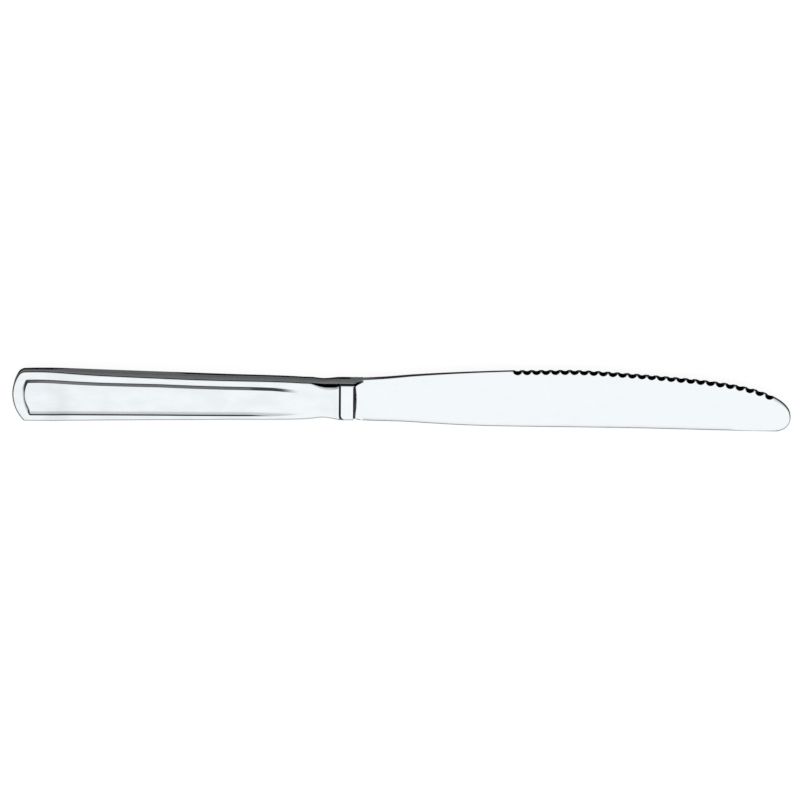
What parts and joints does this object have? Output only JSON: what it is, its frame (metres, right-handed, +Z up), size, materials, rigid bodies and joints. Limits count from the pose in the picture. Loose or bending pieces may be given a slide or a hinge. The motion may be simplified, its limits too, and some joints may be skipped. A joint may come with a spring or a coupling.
{
  "type": "table knife",
  "caption": "Stainless table knife with a hollow panelled handle, a flush bolster and a long round-tipped blade with ground scallops along its cutting edge.",
  "frame": {"origin": "under the middle of the knife's box, on the surface that the knife lies on", "axes": "+X along the knife towards the tip, +Y towards the cutting edge, +Z up out of the handle's front face"},
  "size_m": [0.234, 0.019, 0.0054],
  "materials": {
    "blade_steel": "mirror-polished stainless steel",
    "bolster_steel": "mirror-polished stainless steel",
    "handle_steel": "polished stainless steel, softly brushed in the panel",
    "braze": "dull filler metal",
    "cement": "matt set cement"
  },
  "bodies": {
    "root": {"blade": "blade_steel", "bolster": "bolster_steel", "handle_shell_front": "handle_steel", "handle_shell_back": "handle_steel", "seam_braze": "braze", "tang_braze": "braze", "handle_cement": "cement"}
  },
  "joints": []
}
